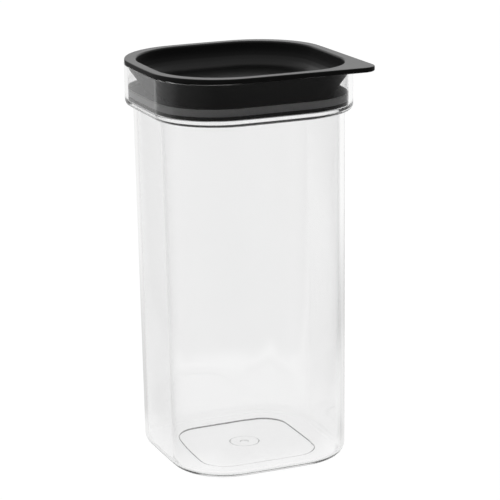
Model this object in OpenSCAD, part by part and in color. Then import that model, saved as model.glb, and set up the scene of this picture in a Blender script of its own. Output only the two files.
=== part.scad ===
// Lidded storage canister: a clear one-piece jar with a stepped collar, and a
// lift-off lid of three pieces, which are a dished top with a finger tab, a
// ring seal and the plug base that the seal sits round.
//
// Millimetres, +Z up. The origin is the middle of the foot. The jar's four
// nearly flat sides face +X, +Y, -X and -Y, and the tab is over the +X -Y corner.

/* [Jar] */
// Width across the flat sides just above the foot
foot_w = 94.9; // [93:0.1:97]
// Width across the flat sides just below the shoulder
shoulder_w = 98; // [97:0.1:100]
// Width across the flat sides of the collar
collar_w = 105; // [104:0.5:108]
// Height of the shoulder that steps out to the collar
shoulder_h = 183; // [120:1:260]
// Height of the collar above the shoulder
collar_h = 21.2; // [21:0.2:24]
// Thickness of the walls
wall = 2.1; // [1.8:0.1:2.4]
// Thickness of the floor
floor_t = 2.4; // [2:0.1:3]
// Thickness of the ledge inside the shoulder
ledge_t = 3; // [2.6:0.1:3.2]
// Radius of the rounded edge round the foot
foot_edge_r = 5.6; // [3:0.2:7]
// Radius that each side bows out with
side_bow_r = 1180; // [800:10:3000]

/* [Recess under the foot] */
// Width of the recess across its flats
recess_w = 63.4; // [40:0.2:70]
// Depth of the recess
recess_d = 1; // [0.4:0.1:1.2]

/* [Lid] */
// Width across the flat sides of the rim
rim_w = 106.5; // [106:0.1:110]
// Thickness of the rim and the tab
rim_t = 2.5; // [2:0.1:3]
// Radius that each side of the rim bows out with
rim_bow_r = 425; // [350:5:900]
// Width of the dish's opening in the top of the rim
opening_w = 97.8; // [96:0.1:98]
// Radius of the rounded edge round the dish's opening
opening_edge_r = 1.2; // [0.8:0.1:2]
// Depth of the dish below the rim
dish_depth = 12.5; // [11.5:0.1:12.5]
// Thickness of the dish's floor
dish_t = 2; // [1.6:0.1:2.2]
// Distance from the middle of the lid to the tab's two straight sides
tab_reach = 54; // [53.6:0.1:56]
// Radius of the tab's tip
tab_tip_r = 8; // [2:0.5:12]

/* [Seal and plug base] */
// Height of the seal
seal_h = 3.8; // [3.2:0.1:4.2]
// Thickness of the seal below its lip
seal_t = 1.6; // [1.2:0.1:2]
// Height of the seal's lip above the plug base's flange
seal_lip_h = 1.4; // [0.8:0.1:1.6]
// Thickness of the plug base below the seal
plug_t = 1.75; // [1.4:0.05:1.9]
// Gap between the seal and the collar's inner wall
seal_gap = 0.2; // [0.15:0.05:0.4]

/* [Hidden] */

SIDE_STEPS = 3;      // straight pieces along one bowed side
CORNER_STEPS = 9;    // points round one corner, between its ends
ARC_STEPS = 4;       // straight pieces round one rounded edge

// How much smaller a corner's radius is than the half width, at each part
FOOT_K = 17.65;
SHOULDER_K = 16.5;
COLLAR_K = 18.8;
RIM_K = 16.05;
DISH_K = 14.6;           // outside of the dish
DISH_TAB_K = 20;         // the same, at the tab's corner
WAIST_K = 15.5;          // foot of the dish, and the skirt
WAIST_TAB_K = 20.5;      // the same, at the tab's corner
OPENING_K = 13.1;        // inside of the dish
OPENING_TAB_K = 20.4;    // the same, at the tab's corner
OPENING_BOW_R = 900;

// Jar
collar_top = shoulder_h + collar_h;
collar_in = collar_w/2 - wall;
ledge_z = shoulder_h + ledge_t;
shoulder_fillet_r = 0.6;
shoulder_rise = 0.25;
collar_edge_r = 2.4;
lip_r = 0.3;
ledge_fillet_r = 0.8;
ledge_edge_r = 0.7;
floor_fillet_r = 2.5;
recess_draft = 0.05;

// Lid, from the plug's lower face up
rim_gap = 0.3;           // between the collar's top and the rim
plug_gap = 0.4;          // between the plug base and the ledge
piece_gap = 0.1;         // between the pieces of the lid
plug_z = ledge_z + plug_gap;
seal_z = plug_z + plug_t + piece_gap/2;
seal_top = seal_z + seal_h;
seal_out = collar_in - seal_gap;
flange_out = seal_out - seal_t;
flange_z = seal_top - seal_lip_h;
rim_z = collar_top + rim_gap;
rim_top = rim_z + rim_t;
dish_z = rim_top - dish_depth;
dish_under = dish_z - dish_t;
dish_out = collar_in - 0.6;
waist_w = dish_out - 7.4;
skirt_t = 1.8;
sleeve_t = 1.6;
slope = 37;              // lean of the dish's outer wall away from upright
waist_fillet_r = 1;
dish_edge_r = 2;
dish_floor_r = 10;
rim_edge_r = 0.5;
seal_edge_r = 0.35;
seal_lip_t = 0.8;
seal_lean = 0.2;          // how much further out the lip is than the seal's foot
plug_panel_w = 76;
plug_panel_d = 0.4;

// A level is [half width, height, corner, tab corner, bow radius]. A corner is
// [distance of its centre from both middle planes, radius, angle it starts at].
function round_corner(w, k, bow) =
    let (r = w - k, b = bow - w, c = (sqrt(2*(bow - r)^2 - b^2) - b)/2)
    [c, r, atan2(c, c + b)];

function tip_corner(w, reach, tip, bow) =
    let (c = reach - tip, d = [c - w + bow, c])
    [c, tip, atan2(d.y, d.x) - acos((bow - tip)/norm(d))];

function level(w, z, k, tab_k, bow) =
    [w, z, round_corner(w, k, bow), round_corner(w, is_undef(tab_k) ? k : tab_k, bow), bow];

// A level of the rim, moved inwards by inset, with its fourth corner drawn out to the tab
function rim_level(inset, z) =
    let (w = rim_w/2 - inset, bow = rim_bow_r)
    [w, z, round_corner(w, RIM_K, bow),
     tip_corner(w, tab_reach - inset, tab_tip_r - inset, bow), bow];

function turned(p, a, z) = [p.x*cos(a) - p.y*sin(a), p.x*sin(a) + p.y*cos(a), z];

// The points of one level, anticlockwise: each bowed side, then the corner after it
function level_points(l) = [
    for (k = [0:3])
        let (
            w = l[0], z = l[1], bow = l[4],
            before = k == 0 ? l[3] : l[2],
            corner = k == 3 ? l[3] : l[2],
            side_to = corner[2], side_from = -before[2]
        )
        each [
            for (i = [0:SIDE_STEPS])
                let (a = side_from + (side_to - side_from)*i/SIDE_STEPS)
                turned([w - bow + bow*cos(a), bow*sin(a)], 90*k, z),
            for (i = [1:CORNER_STEPS])
                let (a = side_to + (90 - 2*side_to)*i/(CORNER_STEPS + 1))
                turned([corner[0] + corner[1]*cos(a), corner[0] + corner[1]*sin(a)], 90*k, z)
        ]
];

// [half width, height] points round an edge, from angle a to angle b about [w, z]
function edge(w, z, r, a, b) =
    [for (i = [0:ARC_STEPS]) let (t = a + (b - a)*i/ARC_STEPS) [w + r*cos(t), z + r*sin(t)]];

// Levels for a list of [half width, height] points
function levels(points, k, tab_k, bow = side_bow_r) =
    [for (p = points) level(p[0], p[1], k, tab_k, bow)];

// A solid through levels that run from the underside, out, up and in again. A ring
// joins its last level to its first, and any other solid is capped at both ends.
module loft(levels, ring = false) {
    n = 4*(SIDE_STEPS + 1 + CORNER_STEPS);
    m = len(levels);
    points = [for (l = levels) each level_points(l)];
    walls = [
        for (j = [0:(ring ? m - 1 : m - 2)], i = [0:n - 1])
            let (
                a = j*n + i, b = j*n + (i + 1)%n,
                c = ((j + 1)%m)*n + (i + 1)%n, d = ((j + 1)%m)*n + i
            )
            each [[a, c, b], [a, d, c]]
    ];
    caps = ring ? [] : [
        [for (i = [0:n - 1]) i],
        [for (i = [0:n - 1]) m*n - 1 - i]
    ];
    polyhedron(points, concat(walls, caps));
}

// Clear jar: recessed foot, tapered body, shoulder and collar, open at the top
module jar() {
    foot_in = foot_w/2 - foot_edge_r;
    body_in = shoulder_w/2 - wall;
    floor_in = foot_w/2 - wall - floor_fillet_r;
    color([0.9, 0.93, 0.94, 0.35])
    loft(concat(
        levels([[recess_w/2 - recess_draft, recess_d], [recess_w/2, 0]], FOOT_K),
        levels(edge(foot_in, foot_edge_r, foot_edge_r, -90, 0), FOOT_K),
        levels(edge(shoulder_w/2 + shoulder_fillet_r, shoulder_h - shoulder_fillet_r,
                    shoulder_fillet_r, 180, 90), SHOULDER_K),
        levels(edge(collar_w/2 - collar_edge_r, shoulder_h + shoulder_rise + collar_edge_r,
                    collar_edge_r, -90, 0), COLLAR_K),
        levels(edge(collar_w/2 - lip_r, collar_top - lip_r, lip_r, 0, 90), COLLAR_K),
        levels(edge(collar_in + lip_r, collar_top - lip_r, lip_r, 90, 180), COLLAR_K),
        levels(edge(collar_in - ledge_fillet_r, ledge_z + ledge_fillet_r,
                    ledge_fillet_r, 0, -90), COLLAR_K),
        levels(edge(body_in + ledge_edge_r, ledge_z - ledge_edge_r,
                    ledge_edge_r, 90, 180), SHOULDER_K),
        levels(edge(floor_in, floor_t + floor_fillet_r, floor_fillet_r, 0, -90), FOOT_K)
    ));
}

// Lid top: rim with the finger tab, the dish, and the skirt that goes into the plug base
module lid_top() {
    color([0.1, 0.1, 0.11])
    loft(concat(
        levels([
            [waist_w - skirt_t, dish_under],
            [waist_w - skirt_t, seal_z + piece_gap],
            [waist_w, seal_z + piece_gap]
        ], WAIST_K, WAIST_TAB_K),
        levels(edge(waist_w + waist_fillet_r, flange_z + 1.1, waist_fillet_r,
                    180, 180 - slope), WAIST_K, WAIST_TAB_K),
        levels(edge(dish_out - dish_edge_r, rim_z - 1.95, dish_edge_r, -slope, 0),
               DISH_K, DISH_TAB_K),
        levels([[dish_out, rim_z - 0.3], [dish_out + 0.2, rim_z]], DISH_K, DISH_TAB_K),
        [for (p = edge(rim_edge_r, rim_z + rim_edge_r, rim_edge_r, 270, 180)) rim_level(p[0], p[1])],
        [for (p = edge(rim_edge_r, rim_top - rim_edge_r, rim_edge_r, 180, 90)) rim_level(p[0], p[1])],
        levels(edge(opening_w/2, rim_top - opening_edge_r, opening_edge_r, 90, 180),
               OPENING_K, OPENING_TAB_K, OPENING_BOW_R),
        levels(edge(opening_w/2 - opening_edge_r - 0.2 - dish_floor_r, dish_z + dish_floor_r,
                    dish_floor_r, 0, -90), OPENING_K, OPENING_TAB_K, OPENING_BOW_R)
    ));
}

// Soft ring round the flange of the plug base, with a thin lip that wipes the collar's wall
module seal_ring() {
    inner = flange_out + piece_gap;
    foot = seal_out - seal_lean - seal_edge_r;
    lip = seal_out - seal_edge_r;
    color([0.6, 0.6, 0.62])
    loft(levels(concat(
        [[inner, seal_z]],
        edge(foot, seal_z + seal_edge_r, seal_edge_r, -90, 0),
        edge(lip, seal_top - seal_edge_r, seal_edge_r, 0, 90),
        [[seal_out - seal_lip_t, seal_top], [inner, flange_z]]
    ), COLLAR_K), ring = true);
}

// Closed plate under the lid. Its flange holds the seal, and the skirt is pressed into
// the channel between the flange and the sleeve.
module plug_base() {
    plate_z = plug_z + plug_t;
    plate_w = seal_out - 0.2;
    channel_w = waist_w + piece_gap;
    sleeve_w = waist_w - skirt_t - piece_gap;
    color([0.1, 0.1, 0.11])
    loft(concat(
        levels(concat(
            [[plug_panel_w/2 - plug_panel_d, plug_z + plug_panel_d], [plug_panel_w/2, plug_z]],
            edge(plate_w - seal_edge_r, plug_z + seal_edge_r, seal_edge_r, -90, 0),
            [[plate_w, plate_z], [flange_out, plate_z], [flange_out, flange_z]]
        ), COLLAR_K),
        levels([
            [channel_w, flange_z],
            [channel_w, plate_z],
            [sleeve_w, plate_z],
            [sleeve_w, dish_under - piece_gap],
            [sleeve_w - sleeve_t, dish_under - piece_gap],
            [sleeve_w - sleeve_t, plate_z]
        ], WAIST_K, WAIST_TAB_K)
    ));
}

jar();
lid_top();
seal_ring();
plug_base();
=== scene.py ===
import math
from collections import namedtuple

import bpy
import numpy as np
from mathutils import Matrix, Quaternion, Vector


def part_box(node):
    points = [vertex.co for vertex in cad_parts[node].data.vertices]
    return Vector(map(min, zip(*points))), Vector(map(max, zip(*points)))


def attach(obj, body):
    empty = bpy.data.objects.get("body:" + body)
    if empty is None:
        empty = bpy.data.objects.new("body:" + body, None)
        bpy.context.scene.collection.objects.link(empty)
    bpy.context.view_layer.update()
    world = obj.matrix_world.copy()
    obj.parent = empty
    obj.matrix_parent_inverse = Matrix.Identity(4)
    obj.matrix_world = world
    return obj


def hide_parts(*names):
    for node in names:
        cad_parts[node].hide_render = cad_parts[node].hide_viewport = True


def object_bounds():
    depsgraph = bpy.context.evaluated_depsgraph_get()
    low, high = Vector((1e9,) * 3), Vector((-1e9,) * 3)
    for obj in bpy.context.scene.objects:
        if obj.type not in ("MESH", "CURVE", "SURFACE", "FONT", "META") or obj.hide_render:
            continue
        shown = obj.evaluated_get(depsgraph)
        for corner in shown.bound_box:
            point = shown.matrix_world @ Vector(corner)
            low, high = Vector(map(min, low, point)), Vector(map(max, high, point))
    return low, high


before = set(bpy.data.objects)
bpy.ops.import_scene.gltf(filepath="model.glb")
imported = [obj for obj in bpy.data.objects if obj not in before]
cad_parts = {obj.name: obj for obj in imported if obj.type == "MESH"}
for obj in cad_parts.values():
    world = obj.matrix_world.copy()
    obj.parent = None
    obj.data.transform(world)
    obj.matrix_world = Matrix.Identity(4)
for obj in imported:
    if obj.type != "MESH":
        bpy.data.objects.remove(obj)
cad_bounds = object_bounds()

MM = 0.001

# How finely the outlines and the rounded edges are drawn
SIDE_STEPS = 10
CORNER_STEPS = 30
ARC_STEPS = 7

# Sizes from the frame, in mm
_, JAR_HIGH = (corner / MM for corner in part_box("jar"))
LID_LOW, LID_HIGH = (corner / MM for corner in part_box("lid_top"))
SEAL_LOW, SEAL_HIGH = (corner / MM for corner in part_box("seal_ring"))
PLUG_LOW, PLUG_HIGH = (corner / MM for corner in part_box("plug_base"))

COLLAR = JAR_HIGH.x            # half widths
RIM = -LID_LOW.x
SEAL = SEAL_HIGH.x
PLUG = PLUG_HIGH.x
COLLAR_TOP = JAR_HIGH.z        # heights
RIM_TOP = LID_HIGH.z
SEAL_BOTTOM, SEAL_TOP = SEAL_LOW.z, SEAL_HIGH.z
PLUG_BOTTOM, SLEEVE_TOP = PLUG_LOW.z, PLUG_HIGH.z

# Sizes of the jar that its box doesn't give, in mm
FOOT = 47.4
FOOT_R = 5.6
BODY_TOP = 49.0
SHOULDER_Z = 183.0
SHOULDER_RISE = 0.3
SHOULDER_R = 2.4
WALL = 2.1
LEDGE_T = 3.0
LIP_R = 0.3
FLOOR_T = 2.4
FLOOR_FILLET = 2.5
RECESS = 31.7
RECESS_D = 1.0
RECESS_DRAFT = 0.05

# The round moulding mark under the floor: a dimple in the middle of a fine groove
DIMPLE = 1.6
DIMPLE_D = 0.3
DIMPLE_SIDE = 0.4
GROOVE = 7.5
GROOVE_D = 0.1
GROOVE_SIDE = 0.3
MARK_R = 0.1

# Sizes of the lid, in mm
RIM_T = 2.5
TAB_R = 8.0
TAB_TIP = 46.0
OPENING = 47.75
DISH_DEPTH = 12.5
DISH_DRAFT = 0.7
DISH_R = 10.0
DISH_T = 2.0
DISH_GAP = 0.7
DISH_BAND = 2.6
DISH_SLOPE = 7.4
WAIST_RISE = 0.8
SKIRT_T = 1.8
SEAL_T = 1.6
SEAL_DRAFT = 0.2
SEAL_LIP_T = 0.8
SEAL_LIP_H = 1.4
PLUG_T = 1.75
PANEL = 37.6
PANEL_D = 0.4
SLEEVE_T = 1.6
PRESS_GAP = 0.1

DISH_OUT = COLLAR - WALL - DISH_GAP
WAIST = DISH_OUT - DISH_SLOPE
FLANGE = SEAL - SEAL_T
FLANGE_TOP = SEAL_TOP - SEAL_LIP_H

# A path across a solid starts and ends this far from the middle, and a cap closes it
MIDDLE = 0.8

# The shape of an outline: how much less its corners' radius is than its half width, the
# same for the tab's corner, the radius of its bowed sides, and, where that corner is
# drawn out to the tab, how far the tip's centre is from both middle planes.
Shape = namedtuple("Shape", "less tab_less bow tip", defaults=(None,))
BOW = 1180
FOOT_SHAPE = Shape(17.65, 17.65, BOW)
BODY_SHAPE = Shape(16.5, 16.5, BOW)
COLLAR_SHAPE = Shape(18.8, 18.8, BOW)
RIM_SHAPE = Shape(16.05, RIM - TAB_R, 425, TAB_TIP)
DISH_SHAPE = Shape(14.6, 20.0, BOW)
OPENING_SHAPE = Shape(13.1, 20.4, 900)
WAIST_SHAPE = Shape(15.5, 20.5, BOW)
MIDDLE_SHAPE = Shape(0.1, 0.1, BOW)

# A corner of a profile, with the radius of its rounding and the outline's shape there
Corner = namedtuple("Corner", "half_width height radius shape")


def outline_corner(half_width, less, bow, tip=None):
    """How far a corner's centre is from both middle planes, its radius and its start angle."""
    radius = half_width - less
    if tip is not None:
        dx, dy = tip - half_width + bow, tip
        return tip, radius, math.atan2(dy, dx) - math.acos((bow - radius) / math.hypot(dx, dy))
    back = bow - half_width
    centre = (math.sqrt(2 * (bow - radius) ** 2 - back * back) - back) / 2
    return centre, radius, math.atan2(centre, centre + back)


def outline(half_width, shape):
    """Points and directions round a bowed square with round corners, anticlockwise from +X."""
    plain = outline_corner(half_width, shape.less, shape.bow)
    tab = outline_corner(half_width, shape.tab_less, shape.bow, shape.tip)
    rows = []
    for quarter in range(4):
        before = tab if quarter == 0 else plain
        centre, radius, start = tab if quarter == 3 else plain
        side = np.linspace(-before[2], start, SIDE_STEPS + 1)
        turn = np.linspace(start, math.pi / 2 - start, CORNER_STEPS + 2)[1:-1]
        x = np.concatenate([half_width - shape.bow + shape.bow * np.cos(side),
                            centre + radius * np.cos(turn)])
        y = np.concatenate([shape.bow * np.sin(side), centre + radius * np.sin(turn)])
        angle = np.concatenate([side, turn]) + quarter * math.pi / 2
        cos, sin = math.cos(quarter * math.pi / 2), math.sin(quarter * math.pi / 2)
        rows.append(np.stack([x * cos - y * sin, x * sin + y * cos, angle], axis=1))
    return np.concatenate(rows)


def profile(corners, ring=False):
    """Half width, height, outward direction and shape along a path with rounded corners.

    The path runs from the underside, out, up and in again. A ring's path closes on itself.
    """
    points = []
    count = len(corners)
    for i, here in enumerate(corners):
        if not ring and i in (0, count - 1):
            other = corners[1] if i == 0 else corners[-2]
            ahead = np.subtract(other[:2], here[:2]) * (1 if i == 0 else -1)
            ahead = ahead / np.linalg.norm(ahead)
            points.append((here.half_width, here.height, ahead[1], -ahead[0], here.shape))
            continue
        place = np.array(here[:2])
        into = place - np.array(corners[i - 1][:2])
        out = np.array(corners[(i + 1) % count][:2]) - place
        into, out = into / np.linalg.norm(into), out / np.linalg.norm(out)
        turn = math.atan2(into[0] * out[1] - into[1] * out[0], into @ out)
        start = place - into * here.radius * math.tan(abs(turn) / 2)
        side = math.copysign(1, turn)
        centre = start + side * here.radius * np.array([-into[1], into[0]])
        first = math.atan2(-into[0], into[1])
        steps = max(2, math.ceil(ARC_STEPS * abs(turn) / (math.pi / 2)))
        for step in range(steps + 1):
            angle = first + turn * step / steps
            direction = np.array([math.cos(angle), math.sin(angle)])
            at = centre + side * here.radius * direction
            points.append((*at, *direction, here.shape))
    return points


def add_object(name, data):
    obj = bpy.data.objects.new(name, data)
    bpy.context.scene.collection.objects.link(obj)
    return obj


def loft(name, corners, ring=False):
    """A closed mesh object through the outlines of a profile, with exact smooth normals."""
    levels = profile(corners, ring)
    verts, normals = [], []
    for half_width, height, out, up, shape in levels:
        for x, y, angle in outline(half_width, shape):
            verts.append((x * MM, y * MM, height * MM))
            normals.append((out * math.cos(angle), out * math.sin(angle), up))
    count = len(levels)
    around = len(verts) // count
    faces = []
    for level in range(count if ring else count - 1):
        lower, upper = level * around, (level + 1) % count * around
        for i in range(around):
            after = (i + 1) % around
            faces.append((lower + i, lower + after, upper + after, upper + i))
    if not ring:
        faces.append(tuple(reversed(range(around))))
        faces.append(tuple(range((count - 1) * around, count * around)))
    mesh = bpy.data.meshes.new(name)
    mesh.from_pydata(verts, [], faces)
    mesh.polygons.foreach_set("use_smooth", [True] * len(faces))
    mesh.normals_split_custom_set_from_vertices(normals)
    mesh.validate(clean_customdata=False)
    return add_object(name, mesh)


# ---------------------------------------------------------------- pieces

def make_jar():
    collar_in = COLLAR - WALL
    ledge = SHOULDER_Z + LEDGE_T
    return loft("clear_jar", [
        Corner(MIDDLE, RECESS_D + DIMPLE_D, 0, MIDDLE_SHAPE),
        Corner(DIMPLE, RECESS_D + DIMPLE_D, MARK_R, MIDDLE_SHAPE),
        Corner(DIMPLE + DIMPLE_SIDE, RECESS_D, MARK_R, MIDDLE_SHAPE),
        Corner(GROOVE - GROOVE_SIDE, RECESS_D, MARK_R, MIDDLE_SHAPE),
        Corner(GROOVE, RECESS_D + GROOVE_D, MARK_R, MIDDLE_SHAPE),
        Corner(GROOVE + GROOVE_SIDE, RECESS_D, MARK_R, MIDDLE_SHAPE),
        Corner(RECESS - RECESS_DRAFT, RECESS_D, 0.25, FOOT_SHAPE),
        Corner(RECESS, 0, 0.25, FOOT_SHAPE),
        Corner(FOOT, 0, FOOT_R, FOOT_SHAPE),
        Corner(BODY_TOP, SHOULDER_Z, 0.6, BODY_SHAPE),
        Corner(COLLAR, SHOULDER_Z + SHOULDER_RISE, SHOULDER_R, COLLAR_SHAPE),
        Corner(COLLAR, COLLAR_TOP, LIP_R, COLLAR_SHAPE),
        Corner(collar_in, COLLAR_TOP, LIP_R, COLLAR_SHAPE),
        Corner(collar_in, ledge, 0.8, COLLAR_SHAPE),
        Corner(BODY_TOP - WALL, ledge, 0.7, BODY_SHAPE),
        Corner(FOOT - WALL, FLOOR_T, FLOOR_FILLET, FOOT_SHAPE),
        Corner(MIDDLE, FLOOR_T, 0, MIDDLE_SHAPE),
    ])


def make_lid_top():
    dish = RIM_TOP - DISH_DEPTH
    under = dish - DISH_T
    rim_low = RIM_TOP - RIM_T
    skirt_low = SEAL_BOTTOM + PRESS_GAP
    return loft("lid_dish", [
        Corner(MIDDLE, under, 0, MIDDLE_SHAPE),
        Corner(WAIST - SKIRT_T, under, 0.6, WAIST_SHAPE),
        Corner(WAIST - SKIRT_T, skirt_low, 0.2, WAIST_SHAPE),
        Corner(WAIST, skirt_low, 0.2, WAIST_SHAPE),
        Corner(WAIST, FLANGE_TOP + WAIST_RISE, 1.0, WAIST_SHAPE),
        Corner(DISH_OUT, rim_low - DISH_BAND, 2.0, DISH_SHAPE),
        Corner(DISH_OUT, rim_low, 0.3, DISH_SHAPE),
        Corner(RIM, rim_low, 0.5, RIM_SHAPE),
        Corner(RIM, RIM_TOP, 0.5, RIM_SHAPE),
        Corner(OPENING, RIM_TOP, 1.2, OPENING_SHAPE),
        Corner(OPENING - DISH_DRAFT, dish, DISH_R, OPENING_SHAPE),
        Corner(MIDDLE, dish, 0, MIDDLE_SHAPE),
    ])


def make_seal():
    inner = FLANGE + PRESS_GAP
    return loft("seal_lip", [
        Corner(inner, SEAL_BOTTOM, 0.2, COLLAR_SHAPE),
        Corner(SEAL - SEAL_DRAFT, SEAL_BOTTOM, 0.4, COLLAR_SHAPE),
        Corner(SEAL, SEAL_TOP, 0.35, COLLAR_SHAPE),
        Corner(SEAL - SEAL_LIP_T, SEAL_TOP, 0.35, COLLAR_SHAPE),
        Corner(inner, FLANGE_TOP, 0.3, COLLAR_SHAPE),
    ], ring=True)


def make_plug():
    sleeve = WAIST - SKIRT_T - PRESS_GAP
    channel = WAIST + PRESS_GAP
    plate_top = PLUG_BOTTOM + PLUG_T
    return loft("plug_plate", [
        Corner(MIDDLE, PLUG_BOTTOM + PANEL_D, 0, MIDDLE_SHAPE),
        Corner(PANEL, PLUG_BOTTOM + PANEL_D, 0.3, COLLAR_SHAPE),
        Corner(PANEL + PANEL_D, PLUG_BOTTOM, 0.3, COLLAR_SHAPE),
        Corner(PLUG, PLUG_BOTTOM, 0.4, COLLAR_SHAPE),
        Corner(PLUG, plate_top, 0.3, COLLAR_SHAPE),
        Corner(FLANGE, plate_top, 0.2, COLLAR_SHAPE),
        Corner(FLANGE, FLANGE_TOP, 0.3, COLLAR_SHAPE),
        Corner(channel, FLANGE_TOP, 0.2, WAIST_SHAPE),
        Corner(channel, plate_top, 0.2, WAIST_SHAPE),
        Corner(sleeve, plate_top, 0.2, WAIST_SHAPE),
        Corner(sleeve, SLEEVE_TOP, 0.2, WAIST_SHAPE),
        Corner(sleeve - SLEEVE_T, SLEEVE_TOP, 0.2, WAIST_SHAPE),
        Corner(sleeve - SLEEVE_T, plate_top, 0.3, WAIST_SHAPE),
        Corner(MIDDLE, plate_top, 0, MIDDLE_SHAPE),
    ])


# ----------------------------------------------------------------- nodes

def new_material(name, **sockets):
    material = bpy.data.materials.new(name)
    material.use_nodes = True
    shader = material.node_tree.nodes["Principled BSDF"]
    for socket, value in sockets.items():
        shader.inputs[socket.replace("_", " ")].default_value = value
    return material, material.node_tree, shader


def feed(socket, value):
    """Give a socket a plain value, or link another node's output to it."""
    if isinstance(value, bpy.types.NodeSocket):
        value.id_data.links.new(value, socket)
    else:
        socket.default_value = value


def node(tree, kind, *first, **named):
    """A new node. The first sockets are fed in order, and other sockets and settings by name."""
    made = tree.nodes.new(kind)
    for name, value in named.items():
        if name in made.bl_rna.properties:
            setattr(made, name, value)
        else:
            feed(made.inputs[name.replace("_", " ")], value)
    for socket, value in zip(made.inputs, first):
        feed(socket, value)
    return made


def noise(tree, place, scale, detail):
    made = node(tree, "ShaderNodeTexNoise", place, Scale=scale, Detail=detail)
    return made.outputs["Fac"]


def spread(tree, value, low, high):
    """A value from 0 to 1, spread over another range."""
    made = node(tree, "ShaderNodeMapRange", value, To_Min=low, To_Max=high)
    return made.outputs["Result"]


def fade(tree, value, start, end, before, after):
    """A smooth change from one number to another while a value goes from start to end."""
    made = node(tree, "ShaderNodeMapRange", value, interpolation_type="SMOOTHSTEP",
                From_Min=start, From_Max=end, To_Min=before, To_Max=after)
    return made.outputs["Result"]


def calculate(tree, operation, first, second, use_clamp=False):
    made = node(tree, "ShaderNodeMath", first, second, operation=operation, use_clamp=use_clamp)
    return made.outputs["Value"]


def mixture(tree, share, without, full):
    made = node(tree, "ShaderNodeMix", data_type="FLOAT", Factor=share, A=without, B=full)
    return made.outputs["Result"]


def parts_of(tree, vector):
    return node(tree, "ShaderNodeSeparateXYZ", vector).outputs


def object_place(tree):
    return node(tree, "ShaderNodeTexCoord").outputs["Object"]


# ------------------------------------------------------------- materials

def clear_plastic():
    """Clear plastic with faintly uneven patches, as moulded."""
    material, tree, shader = new_material("clear_plastic", IOR=1.57, Transmission_Weight=1.0)
    patches = noise(tree, object_place(tree), 35.0, 2.0)
    feed(shader.inputs["Base Color"], spread(tree, patches, 0.985, 1.0))
    feed(shader.inputs["Roughness"], spread(tree, patches, 0.0, 0.02))
    return material


def lid_plastic(name, level_roughness):
    """Black plastic with a fine grain. Faces that look up have a roughness of their own."""
    side_roughness = 0.7
    material, tree, shader = new_material(name, IOR=1.5)
    place = object_place(tree)
    grain = noise(tree, place, 2500.0, 2.0)
    patches = noise(tree, place, 60.0, 3.0)
    feed(shader.inputs["Base Color"], spread(tree, patches, 0.004, 0.007))
    normal = node(tree, "ShaderNodeNewGeometry").outputs["True Normal"]
    rough = fade(tree, parts_of(tree, normal)["Z"], 0.2, 0.8, side_roughness, level_roughness)
    uneven = spread(tree, patches, -0.02, 0.02)
    feed(shader.inputs["Roughness"], calculate(tree, "ADD", rough, uneven))
    bump = node(tree, "ShaderNodeBump", Strength=0.15, Distance=0.00003, Height=grain)
    feed(shader.inputs["Normal"], bump.outputs["Normal"])
    return material


def seal_rubber():
    """Translucent rubber. The thin lip is painted paler, a painted glow of light coming through it.
    """
    base_colour, lip_glow_colour = (0.93, 0.93, 0.96, 1), (0.97, 0.97, 0.97, 1)
    lip_from, lip_to = (SEAL_TOP - 2.2) * MM, (SEAL_TOP - 0.6) * MM
    material, tree, shader = new_material(
        "seal_rubber", IOR=1.41, Subsurface_Weight=1.0, Subsurface_Radius=(1.0, 1.0, 1.0),
        Subsurface_Scale=0.0015)
    place = object_place(tree)
    grain = noise(tree, place, 900.0, 3.0)
    # Painted glow: towards the seal's top the colour fades to the paler lip colour
    lip = fade(tree, parts_of(tree, place)["Z"], lip_from, lip_to, 0.0, 0.9)
    share = calculate(tree, "ADD", lip, spread(tree, grain, -0.05, 0.05), use_clamp=True)
    shade = node(tree, "ShaderNodeMix", data_type="RGBA", Factor=share, A=base_colour, B=lip_glow_colour)
    feed(shader.inputs["Base Color"], shade.outputs["Result"])
    feed(shader.inputs["Roughness"], spread(tree, grain, 0.45, 0.6))
    return material


# ------------------------------------------------------- floor and light

# What reflections show round the object: how bright it is at each angle to the left of
# the middle of the white sweep, in degrees. The sweep is behind, as the camera sees it,
# and at its left edge the brightness drops by half.
SWEEP_MIDDLE = -22.3
SWEEP_LEFT_EDGE = 50.6
SWEEP_EDGE_WIDTH = 0.3
SURROUNDINGS = ((-180, 0.05), (-100, 0.07), (-76, 0.15), (-52, 0.3), (-48, 0.95),
                (36, 0.86), (41, 0.6), (51, 0.62), (60, 0.68), (93, 0.65), (105, 0.44),
                (115, 0.28), (180, 0.1))

# How bright it is overhead, and how steep a direction is where the fade to it starts and ends
OVERHEAD = 0.42
OVERHEAD_FADE = (0.3, 0.8)

# As reflections show it, the paper is brightest in a round patch and in a margin round
# the foot. Beyond them it has the light of the direction that it lies in, taken from
# beside each point of the object, and that is dimmer near the patch. In metres.
PATCH_MIDDLE = (0.11, 0.06, 0)
PATCH_RADII = (0.05, 0.16)
PATCH_LIGHT = 0.8
MARGIN = 0.04
MARGIN_LIGHT = 0.85
HALF_FOOT = 0.047
START_Y = -0.005
FALLOFF_RADII = (0.1, 0.45)
FALLOFF_LIGHT = 0.75

# What is seen straight or through the jar is white, or nearly
PAPER_SEEN = 0.99
STUDIO_SEEN = 1.0

PAPER_HALF = 6.0
PAPER_DROP = 0.0002


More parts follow.
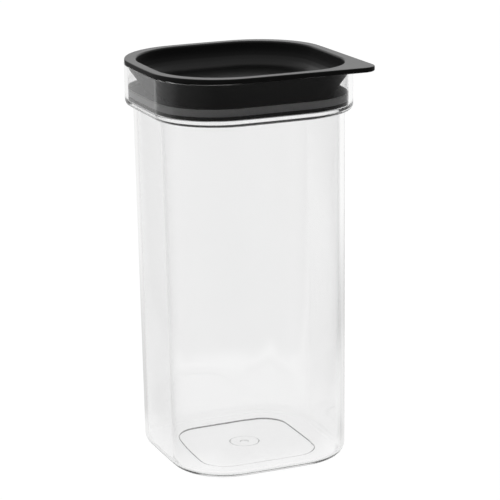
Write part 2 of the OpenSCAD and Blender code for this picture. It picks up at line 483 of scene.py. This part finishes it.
def surroundings(tree, vector):
    """How bright the studio is in a direction, given from the object."""
    turned = node(tree, "ShaderNodeVectorRotate", vector, rotation_type="Z_AXIS",
                  Angle=-math.radians(90 + SWEEP_MIDDLE))
    parts = parts_of(tree, turned.outputs["Vector"])
    angle = calculate(tree, "ARCTAN2", parts["Y"], parts["X"])
    along = node(tree, "ShaderNodeMapRange", angle, From_Min=-math.pi, From_Max=math.pi)
    ramp = node(tree, "ShaderNodeValToRGB", along.outputs["Result"])
    stops = ramp.color_ramp.elements
    while len(stops) < len(SURROUNDINGS):
        stops.new(0.5)
    for stop, (degrees, bright) in zip(stops, SURROUNDINGS):
        stop.position = degrees / 360 + 0.5
        stop.color = (bright, bright, bright, 1)
    edge = node(tree, "ShaderNodeMapRange", angle, To_Min=1.0, To_Max=0.5,
                From_Min=math.radians(SWEEP_LEFT_EDGE),
                From_Max=math.radians(SWEEP_LEFT_EDGE + SWEEP_EDGE_WIDTH))
    return calculate(tree, "MULTIPLY", ramp.outputs["Color"], edge.outputs["Result"])


def seen_or_reflected(tree, seen, reflected):
    """One value where the studio is seen straight or through the jar, and another as a light."""
    path = node(tree, "ShaderNodeLightPath").outputs
    bounces = calculate(tree, "ADD", path["Glossy Depth"], path["Diffuse Depth"], use_clamp=True)
    return mixture(tree, bounces, seen, reflected)


def paper_light(tree):
    """How bright the paper is in reflections."""
    def vector(operation, *inputs, result="Vector"):
        return node(tree, "ShaderNodeVectorMath", *inputs, operation=operation).outputs[result]

    place = node(tree, "ShaderNodeNewGeometry").outputs["Position"]
    beside = node(tree, "ShaderNodeClamp", parts_of(tree, place)["X"],
                  Min=-HALF_FOOT, Max=HALF_FOOT)
    start = node(tree, "ShaderNodeCombineXYZ", beside.outputs["Result"], Y=START_Y)
    away = vector("SUBTRACT", place, start.outputs["Vector"])
    from_patch = vector("DISTANCE", place, PATCH_MIDDLE, result="Value")
    past_foot = vector("SUBTRACT", vector("ABSOLUTE", place), (HALF_FOOT, HALF_FOOT, 0))
    from_foot = vector("LENGTH", vector("MAXIMUM", past_foot, (0, 0, 0)), result="Value")

    falloff = fade(tree, from_patch, *FALLOFF_RADII, FALLOFF_LIGHT, 1.0)
    in_patch = fade(tree, from_patch, *PATCH_RADII, 1.0, 0.0)
    in_margin = fade(tree, from_foot, 0.0, MARGIN, 1.0, 0.0)
    light = calculate(tree, "MULTIPLY", surroundings(tree, away), falloff)
    light = mixture(tree, in_patch, light, PATCH_LIGHT)
    return mixture(tree, in_margin, light, MARGIN_LIGHT)


def make_floor():
    half = PAPER_HALF
    mesh = bpy.data.meshes.new("floor")
    mesh.from_pydata([(-half, -half, 0), (half, -half, 0), (half, half, 0), (-half, half, 0)],
                     [], [(0, 1, 2, 3)])
    floor = add_object("floor", mesh)
    floor.location.z = cad_bounds[0].z - PAPER_DROP
    material, tree, shader = new_material(
        "floor_paper", Base_Color=(0.08, 0.08, 0.08, 1), Roughness=1.0,
        Specular_IOR_Level=0.0, Emission_Color=(1, 1, 1, 1))
    light = seen_or_reflected(tree, PAPER_SEEN, paper_light(tree))
    feed(shader.inputs["Emission Strength"], light)
    material.cycles.emission_sampling = "NONE"
    mesh.materials.append(material)


def make_world():
    world = bpy.data.worlds.new("studio")
    bpy.context.scene.world = world
    world.use_nodes = True
    world.cycles.sampling_method = "NONE"
    tree = world.node_tree
    background = tree.nodes["Background"]
    background.inputs["Color"].default_value = (1, 1, 1, 1)
    direction = node(tree, "ShaderNodeTexCoord").outputs["Generated"]
    up = fade(tree, parts_of(tree, direction)["Z"], *OVERHEAD_FADE, 0.0, 1.0)
    light = mixture(tree, up, surroundings(tree, direction), OVERHEAD)
    feed(background.inputs["Strength"], seen_or_reflected(tree, STUDIO_SEEN, light))


# ---------------------------------------------------------------- camera

# Where the camera stands round a point on the object, in metres, the point that it aims
# at, and its lens and sensor in mm
CAMERA_AZIMUTH = math.radians(-22.04)
CAMERA_ELEVATION = math.radians(15.40)
CAMERA_ROLL = math.radians(-0.96)
CAMERA_DISTANCE = 1.1397
CAMERA_ABOUT = Vector((0, 0, 0.1))
CAMERA_AIM = Vector((0.0052, 0.0001, 0.1060))
LENS = 158.328
SENSOR = 36


def make_camera():
    camera = bpy.data.cameras.new("camera")
    camera.sensor_width = SENSOR
    camera.lens = LENS
    camera.clip_start, camera.clip_end = 0.05, 30
    obj = add_object("camera", camera)
    obj.location = CAMERA_ABOUT + CAMERA_DISTANCE * Vector((
        math.sin(CAMERA_AZIMUTH) * math.cos(CAMERA_ELEVATION),
        -math.cos(CAMERA_AZIMUTH) * math.cos(CAMERA_ELEVATION),
        math.sin(CAMERA_ELEVATION)))
    look = (CAMERA_AIM - obj.location).to_track_quat("-Z", "Y")
    obj.rotation_mode = "QUATERNION"
    obj.rotation_quaternion = look @ Quaternion((0, 0, 1), CAMERA_ROLL)
    bpy.context.scene.camera = obj


make_camera()
make_floor()
make_world()

clear, grey = clear_plastic(), seal_rubber()
satin, coarse = lid_plastic("lid_plastic", 0.3), lid_plastic("plug_plastic", 0.8)
for piece, body, stands_for, slot, material in (
    (make_jar(), "jar", "jar", "clear_plastic", clear),
    (make_lid_top(), "lid", "lid_top", "lid_plastic", satin),
    (make_seal(), "lid", "seal_ring", "seal_rubber", grey),
    (make_plug(), "lid", "plug_base", "lid_plastic", coarse),
):
    piece.data.materials.append(material)
    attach(piece, body)
    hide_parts(stands_for)

# Light goes through the clear jar, so it doesn't darken the paper
bpy.data.objects["clear_jar"].visible_shadow = False

scene = bpy.context.scene
scene.view_settings.view_transform = "Standard"
scene.cycles.max_bounces = 32
scene.cycles.transmission_bounces = 32
scene.cycles.glossy_bounces = 12
